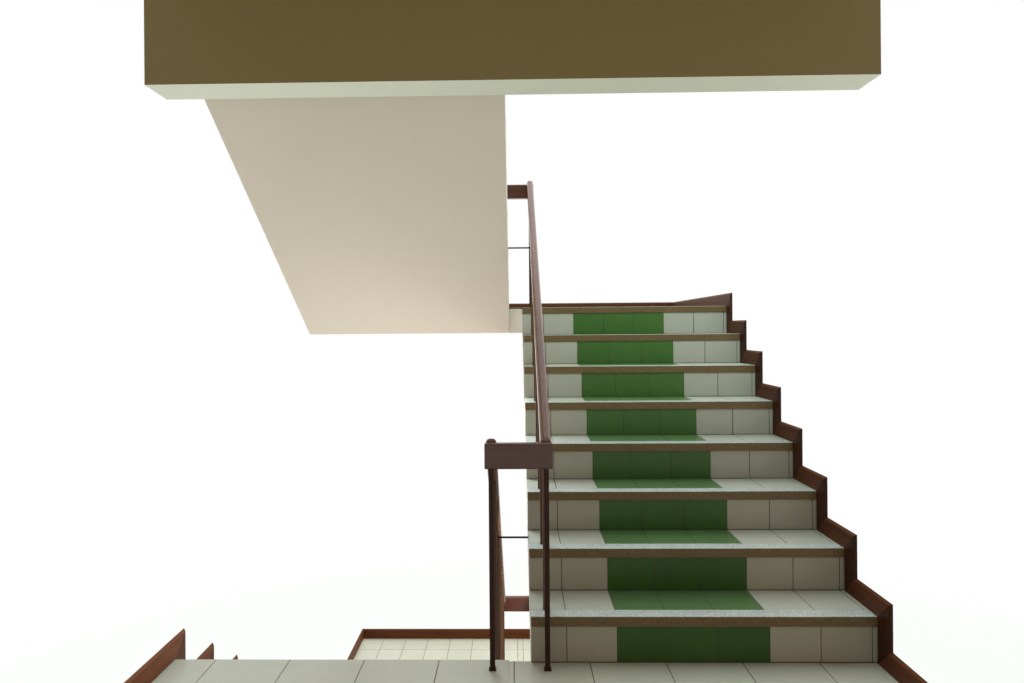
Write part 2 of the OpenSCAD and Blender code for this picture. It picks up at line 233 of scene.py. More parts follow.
def groundTerrazzo(name):
    # Terrazzo nosing, cast in place and ground: grey cement with dark and pale marble chips.
    # The worn top is pale and satin, the front keeps its brown oxide colour and old dirt.
    look = terrazzoLook
    material, tree, place = newMaterial(name)
    isTop = facingShare(tree, 0.45, 0.85)
    cement = addNode(tree, "Mix", {"data_type": "RGBA", 6: srgb(look["frontCement"]),
                                   7: srgb(look["topCement"])}, {0: isTop})
    chip = addNode(tree, "TexVoronoi", {"Scale": 1 / look["chip"]}, {"Vector": place})
    chipTone = addNode(tree, "SeparateColor", {}, {0: chip.outputs["Color"]})
    chipFront, chipTop = [
        addNode(tree, "ValToRGB", {"interpolation": "CONSTANT", "stops": look[stops]}, {0: chipTone})
        for stops in ("frontChips", "topChips")]
    chips = addNode(tree, "Mix", {"data_type": "RGBA"}, {0: isTop, 6: chipFront, 7: chipTop})
    isChip = addNode(tree, "MapRange", {1: 0.30, 2: 0.38, 3: 0.75, 4: 0.0}, {0: chip.outputs["Distance"]})
    withChips = addNode(tree, "Mix", {"data_type": "RGBA"},
                        {0: isChip, 6: cement.outputs[2], 7: chips.outputs[2]})
    fine = addNode(tree, "TexVoronoi", {"Scale": 1 / look["fineChip"]}, {"Vector": place})
    fineTone = addNode(tree, "MapRange", {3: 0.82, 4: 1.16}, {0: fine.outputs["Color"]})
    speckled = addNode(tree, "HueSaturation", {}, {"Color": withChips.outputs[2], "Value": fineTone})
    stain = addNode(tree, "TexNoise", {"Scale": look["stainsPerMetre"], "Detail": 6.0}, {"Vector": place})
    stained = addNode(tree, "MapRange", {1: 0.25, 2: 0.8, 3: 1.08, 4: 0.86}, {0: stain})
    aged = addNode(tree, "HueSaturation", {}, {"Color": speckled, "Value": stained})
    gloss = addNode(tree, "MapRange", {3: look["frontRoughness"], 4: look["topRoughness"]}, {0: isTop})
    bump = addNode(tree, "Bump", {"Strength": 0.25, "Distance": look["relief"]},
                   {"Height": chip.outputs["Distance"]})
    return finishMaterial(material, {"IOR": look["ior"]}, aged, bump, gloss)


plasterLook = {
    "cloud": 1.6,             # metres, uneven coats of paint
    "trowel": 0.16,           # metres, waves left by the trowel
    "trowelDepth": 0.003,
    "stipple": 0.004,         # metres, roller stipple, drawn coarse enough to show
    "stippleDepth": 0.0006,
    "streaksPerMetre": 2.4,
    "streakStretch": (3.0, 3.0, 0.5),
    "streakShare": 0.10,
    "shadeReach": 0.04,
    "shut": 0.3,
    "clear": 0.8,
    "shadeShare": 0.22,
    "ior": 1.48,
}


def paintedPlaster(name, face, shade, dirtAndShade, underside=None):
    # Cement plaster on cast concrete, trowelled flat and rolled with eggshell paint:
    # slow waves, fine stipple, clouds between the coats, faint streaks, painted shade along inner corners.
    look = plasterLook
    material, tree, place = newMaterial(name)
    cloud = addNode(tree, "TexNoise", {"Scale": 1 / look["cloud"], "Detail": 7.0, "Roughness": 0.6},
                    {"Vector": place})
    colour = addNode(tree, "Mix", {"data_type": "RGBA", 6: srgb(face), 7: srgb(shade)}, {0: cloud}).outputs[2]
    # faces that look down get the underside colour: on the beam its real cream, while its darker sides are
    # painted shade
    if underside:
        colour = addNode(tree, "Mix", {"data_type": "RGBA", 7: srgb(underside)},
                         {0: facingShare(tree, -0.4, -0.6), 6: colour}).outputs[2]
    stretched = addNode(tree, "Mapping", {"Scale": look["streakStretch"]}, {"Vector": place})
    streak = addNode(tree, "TexNoise", {"Scale": look["streaksPerMetre"], "Detail": 8.0, "Roughness": 0.7},
                     {"Vector": stretched})
    streaks = addNode(tree, "MapRange", {1: 0.55, 2: 0.85, 4: look["streakShare"]}, {0: streak})
    streaked = addNode(tree, "Mix", {"data_type": "RGBA", 7: srgb(dirtAndShade)}, {0: streaks, 6: colour})
    cornerShaded = paintedCornerShade(tree, streaked.outputs[2], dirtAndShade, look)
    trowel, stipple = [
        addNode(tree, "TexNoise", {"Scale": 1 / look[size], "Detail": 2.0}, {"Vector": place})
        for size in ("trowel", "stipple")]
    slow = addNode(tree, "Bump", {"Strength": 0.3, "Distance": look["trowelDepth"]}, {"Height": trowel})
    fine = addNode(tree, "Bump", {"Strength": 0.25, "Distance": look["stippleDepth"]},
                   {"Height": stipple, "Normal": slow})
    gloss = addNode(tree, "MapRange", {3: 0.42, 4: 0.62}, {0: cloud})
    return finishMaterial(material, {"IOR": look["ior"]}, cornerShaded, fine, gloss)


woodLook = {
    "grain": 0.0035,          # metres between grain lines
    "figure": 0.028,          # wider bands across a board
    "grainShare": 0.45,       # of the fine lines against the wide bands
    "along": 22.0,            # how many times longer than wide the grain runs
    "toneShare": 0.22,        # of each board's own tone and its painted light and shade
    "poreDepth": 0.0004,
    "coatRoughness": 0.14,
    "endGrain": 0.15,         # how far the grain map of a cut end is squeezed
    "shift": 5.0,             # metres, how far chance may move a board's grain map
}


def lacqueredWood(name, pale, middle, dark, roughness, coat, ior):
    # Hardwood moulding under brushed lacquer: long grain along the piece, darker pores
    # and a clear coat, thin on the skirting and thick on the rails.
    look = woodLook
    material, tree, place = newMaterial(name, ("UVMap", "UV"))
    grainPlace = addNode(tree, "Mapping", {"Scale": (1 / look["along"], 1.0, 1.0)}, {"Vector": place})
    figure = addNode(tree, "TexNoise", {"Scale": 1 / look["figure"], "Detail": 3.0, "Distortion": 0.6},
                     {"Vector": grainPlace})
    grain = addNode(tree, "TexNoise", {"Scale": 1 / look["grain"], "Detail": 4.0, "Roughness": 0.7},
                    {"Vector": grainPlace})
    both = addNode(tree, "Mix", {0: look["grainShare"]}, {2: figure, 3: grain})
    colour = addNode(tree, "ValToRGB", {"stops": [(0.30, dark), (0.50, middle), (0.70, pale)]}, {0: both})
    tone = addNode(tree, "Attribute", {"attribute_name": "boardTone"})
    bright = addNode(tree, "Math", {"operation": "MULTIPLY_ADD", 1: look["toneShare"], 2: 1.0},
                     {0: tone.outputs["Fac"]})
    toned = addNode(tree, "HueSaturation", {}, {"Color": colour, "Value": bright})
    brushed = addNode(tree, "MapRange", {1: 0.3, 2: 0.7, 3: roughness - 0.04, 4: roughness + 0.10},
                      {0: grain})
    bump = addNode(tree, "Bump", {"Strength": 0.12, "Distance": look["poreDepth"]}, {"Height": grain})
    clear = {"IOR": ior, "Coat Weight": coat, "Coat Roughness": look["coatRoughness"]}
    return finishMaterial(material, clear, toned, bump, brushed)


paintLook = {
    "cloudsPerMetre": 14.0,
    "peelsPerMetre": 260.0,
    "peelDepth": 0.0004,
    "ior": 1.28,
}


def brushedPaint(name, face, shade):
    # Mild steel bar under brushed paint gone dull: slight orange peel, and thick and thin patches.
    look = paintLook
    material, tree, place = newMaterial(name)
    cloud = addNode(tree, "TexNoise", {"Scale": look["cloudsPerMetre"], "Detail": 5.0}, {"Vector": place})
    peel = addNode(tree, "TexNoise", {"Scale": look["peelsPerMetre"], "Detail": 2.0}, {"Vector": place})
    colour = addNode(tree, "Mix", {"data_type": "RGBA", 6: srgb(face), 7: srgb(shade)}, {0: cloud})
    gloss = addNode(tree, "MapRange", {3: 0.46, 4: 0.62}, {0: cloud})
    bump = addNode(tree, "Bump", {"Strength": 0.3, "Distance": look["peelDepth"]}, {"Height": peel})
    return finishMaterial(material, {"IOR": look["ior"]}, colour.outputs[2], bump, gloss)


finishes = {
    # tiles: face, shade, dark colour of the painted shade in joints and corners, roughness, share of each
    # tile's own tone and of the painted light up a flight, share trodden pale
    # the off-white glaze is written darker than its clean colour: painted shade over the whole tile
    "white": glazedTile("glazedOffWhiteTile", "#ABA899", "#A6A393", "#5F5543", 0.30, 0.08, 0.06),
    "green": glazedTile("glazedDeepGreenTile", "#395F20", "#34581D", "#263A1E", 0.32, 0.19, 0.085),
    "floor": glazedTile("glazedGreyBeigeTile", "#AAA797", "#A4A190", "#5B5444", 0.20, 0.025, 0.0),
    "cream": glazedTile("glazedCreamTile", "#D5D3C1", "#CFCCBA", "#8C816A", 0.28, 0.025, 0.0),
    "grout": tileGrout("rubbedDarkGrout", "#4E4535", "#3E372B"),
    "terrazzo": groundTerrazzo("groundTerrazzo"),
    "plaster": paintedPlaster("paintedCreamPlaster", "#DCCEC0", "#D7C9BA", "#A39680"),
    # the beam's paint is one cream: its sides are written dark taupe, painted shade, and its underside keeps
    # the cream
    "beam": paintedPlaster("creamBeamWithPaintedShadeSides", "#796738", "#726136", "#5A4D34", underside="#D2D0BE"),
    # wood: pale, middle and dark grain, roughness, weight of the clear coat, index of refraction
    "skirting": lacqueredWood("lacqueredRedwoodBoard", "#5E351C", "#4F2B18", "#422312", 0.46, 0.05, 1.22),
    # one mahogany for all rails: the raked rails get a paler copy, partly hand wear and partly painted sheen,
    # the cross rails a darker copy, painted shade
    "rail": lacqueredWood("wornRailMahoganyWithPaintedSheen", "#7C5342", "#714A3B", "#644034", 0.26, 0.80, 1.50),
    "crossRail": lacqueredWood("lacqueredMahoganyRailShadedCopy", "#4E2C22", "#45261D", "#3D2118", 0.30, 0.32, 1.36),
    # one brown paint on all bars: the posts, rods and guard bars get a dark copy, painted shade, the
    # balusters a lighter and redder copy, painted light
    "steel": brushedPaint("brushedBrownPaintShadedCopy", "#34170B", "#251007"),
    "baluster": brushedPaint("brushedBrownPaintLitCopy", "#5E4230", "#4E3626"),
}
print("materials made,", len(finishes))

# ---- mesh helpers

sharpCorner = math.radians(50)


def makePiece(name, points, faceSets, finish, stands, floats=None, uv=None):
    # faceSets are index arrays, one for each number of corners; floats are named values per vertex,
    # uv is one pair for each corner in the order of the faces; stands are the nodes that it stands for
    mesh = bpy.data.meshes.new(name)
    corners = np.concatenate([faces.ravel() for faces in faceSets])
    counts = np.concatenate([np.full(len(faces), faces.shape[1]) for faces in faceSets])
    mesh.vertices.add(len(points))
    mesh.vertices.foreach_set("co", points.astype(np.float32).ravel())
    mesh.loops.add(len(corners))
    mesh.loops.foreach_set("vertex_index", corners.astype(np.int32))
    mesh.polygons.add(len(counts))
    mesh.polygons.foreach_set("loop_start", (np.cumsum(counts) - counts).astype(np.int32))
    for key, values in (floats or {}).items():
        mesh.attributes.new(key, "FLOAT", "POINT").data.foreach_set("value", values.astype(np.float32))
    if uv is not None:
        grainMap = np.vstack(uv).astype(np.float32)
        mesh.uv_layers.new(name="grainMap").data.foreach_set("uv", grainMap.ravel())
    mesh.update(calc_edges=True)
    mesh.validate()
    # square corners stay sharp, and weighted normals keep the wide faces flat up to their rounded rims
    mesh.set_sharp_from_angle(angle=sharpCorner)
    piece = bpy.data.objects.new(name, mesh)
    scene.collection.objects.link(piece)
    flat = piece.modifiers.new("flatFaces", "WEIGHTED_NORMAL")
    flat.mode, flat.keep_sharp = "FACE_AREA", True
    piece.data.materials.append(finishes[finish])
    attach(piece, "root")
    if stands:
        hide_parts(*stands)


def ringFaces(count, rings, sides):
    # quads that join each ring to the next for every item, as indices item*rings*sides + ring*sides + side
    item, ring, side = np.meshgrid(np.arange(count), np.arange(rings - 1), np.arange(sides), indexing="ij")
    start = item * rings * sides + ring * sides
    follow = (side + 1) % sides
    return np.stack([start + side, start + follow, start + follow + sides, start + side + sides],
                    axis=-1).reshape(-1, 4)


# ---- tiles

tileShape = {
    "joint": 0.0030,          # open width between two tiles
    "greenJoint": 0.0016,     # the green ones are set closer
    "edge": 0.0012,           # rounded rim of the glaze
    "knee": 0.3,              # where along its rim the glaze bends down most
    "body": 0.0060,           # how deep a tile's side shows
    "groutDepth": 0.0011,     # grout below the glaze
    "bedInset": 0.0005,       # the mortar stays behind the glaze at the open side of a flight
    "lippage": 0.0002,        # uneven setting
    "chanceShare": 0.25,      # a tile's tone by chance, against the painted shade on the lower steps
    "cut": 0.141,             # the column at the well
    "whole": 0.200,
    "wholeColumns": 6,
}


def tileSet(low, high, normal, joint):
    # Every tile is four rings of corners on a flat rectangle from low to high: the first two are its
    # sides, the last two curve in over the rim. normal is "up" or "front" in the flight's own frame.
    count, rings, sides = len(low), 4, 4
    centre, half = (low + high) / 2, (high - low) / 2 - joint / 2
    rim, knee = tileShape["edge"], tileShape["knee"] * tileShape["edge"]
    insets = np.array([0.0, 0.0, knee, rim])
    drops = np.array([tileShape["body"], rim, knee, 0.0])
    signs = np.array([[-1, -1], [1, -1], [1, 1], [-1, 1]], float)
    flat = centre[:, None, None, :2] + signs * (half[:, None, None, :2] - insets[None, :, None, None])
    drop = drops[None, :, None] + chance.uniform(0, tileShape["lippage"], (count, 1, 1))
    depth = np.broadcast_to(drop, flat.shape[:3])
    if normal == "up":
        points = np.stack([flat[..., 0], flat[..., 1], centre[:, None, None, 2] - depth], -1)
    else:
        points = np.stack([flat[..., 0], centre[:, None, None, 2] + depth, flat[..., 1]], -1)
    faces = ringFaces(count, rings, sides)
    tops = (np.arange(count)[:, None] * rings + rings - 1) * sides + np.arange(sides)
    tone = np.repeat(chance.uniform(-1, 1, count), rings * sides)
    return points.reshape(-1, 3), np.vstack([faces, tops]), tone


def joinSets(parts):
    # stacks sets of points, faces and any values per point, with the face indices moved on
    points, faces, *values = zip(*parts)
    starts = np.cumsum([0] + [len(part) for part in points[:-1]])
    return (np.vstack(points), np.vstack([rows + start for rows, start in zip(faces, starts)]),
            *[np.concatenate(value) for value in values])


def stepFields(flight, columns):
    # the rectangles of the tiles in given columns: treads as (x, y, z), risers as (x, z, y)
    steps, back = stair["steps"], stair["nosingDepth"] - stair["overhang"]
    treadLow, treadHigh, riserLow, riserHigh = [], [], [], []
    for x0, x1 in columns:
        for i in range(1, steps):
            treadLow.append([x0, (i - 1) * going + back, i * riser])
            treadHigh.append([x1, i * going, i * riser])
        for i in range(1, steps + 1):
            top = i * riser - (stair["tileThickness"] if flight % 2 == 0 and i == steps
                               else stair["nosingHeight"])
            riserLow.append([x0, (i - 1) * riser, (i - 1) * going])
            riserHigh.append([x1, top, (i - 1) * going])
    return np.array([treadLow, treadHigh]), np.array([riserLow, riserHigh])


def flightTiles(flight):
    # columns of whole tiles with a cut one at each side; the third to fifth from the well are green
    lines = tileShape["cut"] + tileShape["whole"] * np.arange(tileShape["wholeColumns"] + 1)
    edges = [0, *lines, widths[flight % 2]]
    spans = list(zip(edges[:-1], edges[1:]))
    for colour, columns in (("white", spans[:2] + spans[5:]), ("green", spans[2:5])):
        joint = tileShape["greenJoint"] if colour == "green" else tileShape["joint"]
        treads, risers = stepFields(flight, columns)
        points, faces, tone = joinSets([tileSet(*treads, "up", joint), tileSet(*risers, "front", joint)])
        # painted light: the tiles grow lighter up each flight and darker towards its foot: tone = a share of
        # chance + climb from -1 to 1
        tone = tileShape["chanceShare"] * tone + 2 * points[:, 2] / flightRise - 1
        makePiece(f"flight{flight}{colour.title()}Tiles", fromFlight(flight, points), [faces], colour,
                  [f"flight_{flight}_{colour}_tiles"], {"tileTone": tone})


def boxSet(low, high):
    # closed boxes between corner arrays: a ring of four corners below and one above, and two caps
    low, high, count, sides = np.array(low), np.array(high), len(low), 4
    signs = np.array([[0, 0], [1, 0], [1, 1], [0, 1]], float)
    flat = low[:, None, None, :2] + signs * (high - low)[:, None, None, :2]
    level = np.stack([low[:, 2], high[:, 2]], 1)[:, :, None]
    flat = np.broadcast_to(flat, (count, 2, sides, 2))
    points = np.concatenate([flat, np.broadcast_to(level, (count, 2, sides))[..., None]], -1)
    base, turn = np.arange(count)[:, None] * 2 * sides, np.arange(sides)
    caps = np.vstack([base + turn[::-1], base + sides + turn])
    return points.reshape(-1, 3), np.vstack([ringFaces(count, 2, sides), caps])


def flightBed(flight):
    # the mortar under the tiles, just below their glaze
    steps, back, deep = stair["steps"], stair["nosingDepth"] - stair["overhang"], stair["tileThickness"]
    sunk, width = tileShape["groutDepth"], widths[flight % 2]
    low, high = [], []
    for i in range(1, steps):
        low.append([tileShape["bedInset"], (i - 1) * going + back, i * riser - deep])
        high.append([width, i * going + sunk, i * riser - sunk])
    for i in range(1, steps + 1):
        top = i * riser - (deep if flight % 2 == 0 and i == steps else stair["nosingHeight"])
        start = 0 if flight == 1 and i == 1 else (i - 1) * riser - deep
        low.append([tileShape["bedInset"], (i - 1) * going + sunk, start])
        high.append([width, (i - 1) * going + deep, top])
    points, faces = boxSet(low, high)
    makePiece(f"flight{flight}TileBed", fromFlight(flight, points), [faces], "grout", None)


for flight in (1, 2, 3, 4):
    flightTiles(flight)
    flightBed(flight)

landingTiles = {
    "pitch": 0.300,
    "rows": 5,                # joints from the well to the back edge
    "joint": 0.0030,
    "sliver": 0.004,          # a narrower strip joins its neighbour
    "lineFromWell": -0.0232,  # a joint's place from the middle of the well
    "halfPitch": 0.200,
    "halfCrossFromWall": 0.204,
    "halfLeftLine": -0.4025,  # a joint of the left-hand field from the middle of the well
}


def gridTiles(xs, ys, z, uncut=()):
    # whole tiles between neighbouring grid lines, each side drawn in by half a joint, apart from
    # the lines in uncut, where one tile goes on at another depth
    half = landingTiles["joint"] / 2
    inset = np.where(np.isin(xs, uncut), 0.0, half)
    x0, y0 = np.meshgrid(xs[:-1] + inset[:-1], ys[:-1] + half, indexing="ij")
    x1, y1 = np.meshgrid(xs[1:] - inset[1:], ys[1:] - half, indexing="ij")
    level = np.full(x0.size, z)
    low, high = np.stack([x0.ravel(), y0.ravel(), level], 1), np.stack([x1.ravel(), y1.ravel(), level], 1)
    return tileSet(low, high, "up", 0.0)


def gridLines(start, end, origin, pitch):
    # the edges and the lines origin + k * pitch between them, for every whole k that leaves no sliver
    first = math.ceil((start + landingTiles["sliver"] - origin) / pitch)
    last = math.floor((end - landingTiles["sliver"] - origin) / pitch)
    return np.array([start, *[origin + pitch * k for k in range(first, last + 1)], end])


def layLanding(name, parts, beds, finish, node):
    # the tiles of both storeys' landings as one piece, and the mortar under them as another
    points, faces, tone = joinSets(parts)
    makePiece(f"{name}Tiles", points, [faces], finish, [node], {"tileTone": tone})
    points, faces = joinSets(beds)
    makePiece(f"{name}Bed", points, [faces], "grout", None)


def floorLandings():
    # the front edge lies further back over the well and at the first riser of the flight above, so the
    # field is laid in three strips; a tile that spans two strips shows no joint between them
    parts, beds = [], []
    pitch, deep, sunk = landingTiles["pitch"], stair["tileThickness"], tileShape["groutDepth"]
    edge = firstY + deep
    rows = leftTopY - pitch * np.arange(1, landingTiles["rows"] + 1)
    rows = sorted(rows[rows > backY + landingTiles["sliver"]])
    for storey in (1, 2):
        z = storey * 2 * flightRise
        strips = [(wallLeftX, leftX, leftTopY), (leftX, rightX, edge),
                  (rightX, wallRightX, firstY if storey == 1 else edge)]
        for start, end, front in strips:
            lines = gridLines(start, end, wellX + landingTiles["lineFromWell"], pitch)
            parts.append(gridTiles(lines, np.array([backY, *rows, front]), z, (leftX, rightX)))
            beds.append(boxSet([[start, backY, z - deep]], [[end, front - sunk, z - sunk]]))
    layLanding("floorLanding", parts, beds, "floor", "floor_landing_tiles")


def halfLandings():
    # two fields with joints of their own: up to the well's right side, and beyond it
    parts, beds = [], []
    seat = firstY + run + stair["nosingDepth"] - stair["overhang"]
    deep, pitch, sunk = stair["tileThickness"], landingTiles["halfPitch"], tileShape["groutDepth"]
    cross = farY - landingTiles["halfCrossFromWall"]
    for storey in (1, 2):
        z = (2 * storey - 1) * flightRise
        leftLines = gridLines(wallLeftX, rightX, wellX + landingTiles["halfLeftLine"], pitch)
        rightLines = gridLines(rightX, wallRightX, rightX, pitch)
        leftRows = gridLines(leftFirstY, farY, cross, pitch)
        rightRows = gridLines(seat, farY, cross, pitch)
        parts += [gridTiles(leftLines, leftRows, z), gridTiles(rightLines, rightRows, z)]
        beds.append(boxSet([[wallLeftX, leftFirstY, z - deep], [rightX, seat, z - deep]],
                           [[rightX, farY, z - sunk], [wallRightX, farY, z - sunk]]))
    layLanding("halfLanding", parts, beds, "cream", "half_landing_tiles")


floorLandings()
halfLandings()
print("tiles laid")

# ---- skirting boards

board = {
    "thickness": 0.012,
    "width": 0.085,
    "splay": 0.011,           # how far the bevel runs in from the outer edge
    "radii": (0.0006, 0.0022, 0.0010, 0.0004),
    "arcSteps": 4,
    "mitreGap": 0.0003,
    "ease": 0.0007,           # rubbed edge at the cut ends
    "chanceShare": 0.4,       # a board's tone by chance
    # levelTone to landingTone are painted light and shade: sheen on the level boards, shade on the uprights
    # and on the right, light on the left and round the lower half landing
    "levelTone": 0.5,
    "uprightTone": -1.8,      # painted shade: uprights darker than the level boards
    "rightTone": -0.4,
    "leftTone": 2.0,          # painted light on the left-hand boards and on those round the lower half landing
    "paintedLightTone": 2.4,      # and those round the lower half landing
    "landingTone": 0.3,
}


def roundedOutline(corners, radii, arcSteps):
    # each corner of a convex outline becomes an arc: a circle of the given radius that touches both sides,
    # at r / sin(half the corner's angle) from the corner along its bisector. Points run anticlockwise
    corners, points = np.array(corners, float), []
    for index, (corner, radius) in enumerate(zip(corners, radii)):
        back = corners[index - 1] - corner
        ahead = corners[(index + 1) % len(corners)] - corner
        back, ahead = back / np.linalg.norm(back), ahead / np.linalg.norm(ahead)
        middle = (back + ahead) / np.linalg.norm(back + ahead)
        half = math.acos(np.clip(back @ ahead, -1, 1)) / 2
        centre = corner + middle * radius / math.sin(half)
        start = math.atan2(*(corner + back * radius / math.tan(half) - centre)[::-1])
        turn = np.linspace(0, math.pi - 2 * half, arcSteps)
        points.append(centre + radius * np.stack([np.cos(start + turn), np.sin(start + turn)], 1))
    return np.vstack(points)


def drawnIn(outline, amount):
    # every point moves inwards along the mean of its two sides' normals
    ahead = np.roll(outline, -1, 0) - np.roll(outline, 1, 0)
    normal = np.stack([-ahead[:, 1], ahead[:, 0]], 1)
    return outline + amount * normal / np.linalg.norm(normal, axis=1, keepdims=True)


def carriedProfile(outline, starts, ends, ease):
    # an outline carried from each start to each end: rings at 0, ease, length - ease and length, the first
    # and last drawn in by ease. Gives (along, outline x, outline y) for every bar, faces, and a grain map
    starts, ends = np.atleast_1d(starts), np.atleast_1d(ends)
    rings, sides, count = 4, len(outline), len(starts)
    stations = np.stack([starts, starts + ease, ends - ease, ends], 1)
    small = drawnIn(outline, ease)
    own = np.empty((count, rings, sides, 3))
    own[..., 0] = stations[:, :, None]
    own[..., 1:] = np.stack([small, outline, outline, small])[None]
    walls = ringFaces(count, rings, sides)
    base = np.arange(count)[:, None] * rings * sides
    caps = np.vstack([base + np.arange(sides)[::-1], base + (rings - 1) * sides + np.arange(sides)])
    girth = np.concatenate([[0], np.cumsum(np.linalg.norm(np.roll(outline, -1, 0) - outline, axis=1))])
    shift = chance.uniform(0, woodLook["shift"], (count, 2))
    bar, ring, side = np.meshgrid(np.arange(count), np.arange(rings - 1), np.arange(sides), indexing="ij")
    across = np.stack([girth[side], girth[side + 1], girth[side + 1], girth[side]], -1)
    here, there = stations[bar, ring], stations[bar, ring + 1]
    along = np.stack([here, here, there, there], -1)
    wallMap = np.stack([along + shift[bar, 0][..., None], across + shift[bar, 1][..., None]], -1)
    capMap = np.tile(outline * np.array([woodLook["endGrain"], 1.0]), (2 * count, 1))
    tone = np.repeat(chance.uniform(-1, 1, count), rings * sides)
    return own.reshape(-1, 3), [walls, caps], [wallMap.reshape(-1, 2), capMap], tone


def joinBars(parts):
    # stacks carried profiles of one outline into one set of points, faces, grain map and tone
    moved, start = [], 0
    for points, faces, grain, tone in parts:
        moved.append([part + start for part in faces])
        start += len(points)
    return (np.vstack([part[0] for part in parts]), [np.vstack(kind) for kind in zip(*moved)],
            [np.vstack(kind) for kind in zip(*(part[2] for part in parts))],
            np.concatenate([part[3] for part in parts]))


# the outline is (across the board, depth behind its face) and runs anticlockwise seen from the far end
boardOutline = roundedOutline([(0, 0), (board["width"] - board["splay"], 0),
                               (board["width"], board["thickness"]), (0, board["thickness"])],
                              board["radii"], board["arcSteps"])


def cutEnds(own, cuts):
    # how far each point moves along its board: "mitre" is a corner of the steps, by the distance across;
    # "into" and "out" are an inner corner on plan, by the depth that is left; "square" not at all
    across, left = own[:, 1], board["thickness"] - own[:, 2]
    moves = {"mitre": -across, "square": 0 * across, "into": -left, "out": left}
    sides = len(boardOutline)
    isEnd = np.arange(len(own)) // (2 * sides) % 2
    return np.where(isEnd == 1, moves[cuts[1]], moves[cuts[0]])


def wallBoards(way, starts, ends, wallX, inner=(0.0,), cuts=("mitre", "mitre")):
    # boards along an outer side, x = side - thickness + depth: a level one has y = along + cut and
    # z = inner + across, an upright one has y = inner - across and z = along - cut
    own, faces, grain, tone = carriedProfile(boardOutline, starts, ends, board["ease"])
    edge, cut = np.repeat(inner, len(own) // len(inner)), cutEnds(own, cuts)
    y, z = (own[:, 0] + cut, edge + own[:, 1]) if way == "level" else (edge - own[:, 1], own[:, 0] - cut)
    points = np.stack([wallX - board["thickness"] + own[:, 2], y, z], 1)
    return points, faces, grain, board["chanceShare"] * tone + board[f"{way}Tone"]


def flightSkirting(flight):
    # a level board over every tread and an upright one in front of every riser, mitred at the corners
    steps, wall, half = stair["steps"], widths[flight % 2], board["mitreGap"] / 2
    tread = np.arange(1, steps)
    corner = (tread - 1) * going - stair["overhang"]
    parts = [wallBoards("level", corner + half, corner + going - half, wall, tread * riser)]
    rise = np.arange(1, steps + 1)
    inner = (rise - 1) * going - stair["overhang"]
    low, high = (rise - 1) * riser + half, rise * riser - half
    if flight == 1:  # the lowest board stands on the ground, cut square
        parts.append(wallBoards("upright", 0.0, high[0], wall, inner[:1], ("square", "mitre")))
        low, high, inner = low[1:], high[1:], inner[1:]
    parts.append(wallBoards("upright", low, high, wall, inner))
    points, faces, grain, tone = joinBars(parts)
    # painted shade on the right-hand flights' boards, painted light on the left-hand ones
    tone += board["rightTone"] if flight % 2 else board["leftTone"]
    makePiece(f"flight{flight}SkirtingBoards", fromFlight(flight, points), faces, "skirting",
              [f"flight_{flight}_skirting"], {"boardTone": tone}, grain)


def onLanding(flight, part, level):
    # a board in a flight's own frame, taken to the stair's, with z from the landing's level
    points = fromFlight(flight, part[0])
    points[:, 2] = part[0][:, 2] + level
    return points, *part[1:]


def landingSkirting():
    # half landings have a board along three sides, floor landings on the left and right
    half = board["mitreGap"] / 2
    top, foot = run - stair["overhang"] + half, -stair["overhang"] - half
    halfParts, floorParts = [], []
    for storey in (1, 2):
        level = (2 * storey - 1) * flightRise
        right = wallBoards("level", top, farY - firstY - half, widths[1], cuts=("mitre", "into"))
        left = wallBoards("level", leftFirstY - farY + half, foot, widths[0], cuts=("out", "mitre"))
        own, faces, grain, tone = carriedProfile(boardOutline, half, wallRightX - wallLeftX - half,
                                                 board["ease"])
        back = np.stack([wallRightX - own[:, 0] - cutEnds(own, ("out", "into")),
                         farY - board["thickness"] + own[:, 2], own[:, 1] + level], 1)
        halfParts += [onLanding(1, right, level), onLanding(2, left, level), (back, faces, grain, tone)]
        level = 2 * storey * flightRise
        left = wallBoards("level", top, leftFirstY - backY, widths[0], cuts=("mitre", "square"))
        end, cut = (foot, "mitre") if storey == 1 else (stair["tileThickness"], "square")
        right = wallBoards("level", backY - firstY, end, widths[1], cuts=("square", cut))
        floorParts += [onLanding(2, left, level), onLanding(1, right, level)]
    for name, parts, node in (("halfLandingSkirtingBoards", halfParts, "half_landing_skirting"),
                              ("floorLandingSkirtingBoards", floorParts, "floor_landing_skirting")):
        points, faces, grain, tone = joinBars(parts)
        # painted light: the boards round the lower half landing and on the left are lighter, as if daylight
        # fell on them
        paintedLit = points[:, 2] < 2 * flightRise if parts is halfParts else points[:, 0] < wellX
        tone += np.where(paintedLit, board["paintedLightTone"], board["landingTone"])
        makePiece(name, points, faces, "skirting", [node], {"boardTone": tone}, grain)


for flight in (1, 2, 3, 4):
    flightSkirting(flight)
landingSkirting()
print("skirting boards cut")

# ---- handrails

rail = {
    "width": 0.043,
    "depth": 0.050,
    "topRadius": 0.016,
    "lowRadius": 0.004,
    "rise": 0.015,            # the raked rail's end above the cross rail
    "barIn": 0.062,           # from the well's edge to the line of the bars
    "newelFront": 0.053,
    "newelBack": 0.256,
    "ease": 0.0030,           # rounded cut ends
    "arcSteps": 7,
}
crossRail = {
    "height": 0.880,          # above the landing
    "depth": 0.098,
    "thickness": 0.048,
    "width": 0.264,
    "topRadius": 0.012,
    "lowRadius": 0.006,
    "ease": 0.0035,
    "halfLandingTone": 3.0,   # painted light: the rails there are lighter
}


def barOutline(shape, width):
    # (height below the top, side), anticlockwise seen from the far end
    depth, half, low, top = shape["depth"], width / 2, shape["lowRadius"], shape["topRadius"]
    return roundedOutline([(-depth, -half), (0, -half), (0, half), (-depth, half)], (low, top, top, low),
                          rail["arcSteps"])


nearNewelY = firstY - rail["newelFront"]
farNewelY = firstY + run + rail["newelBack"]


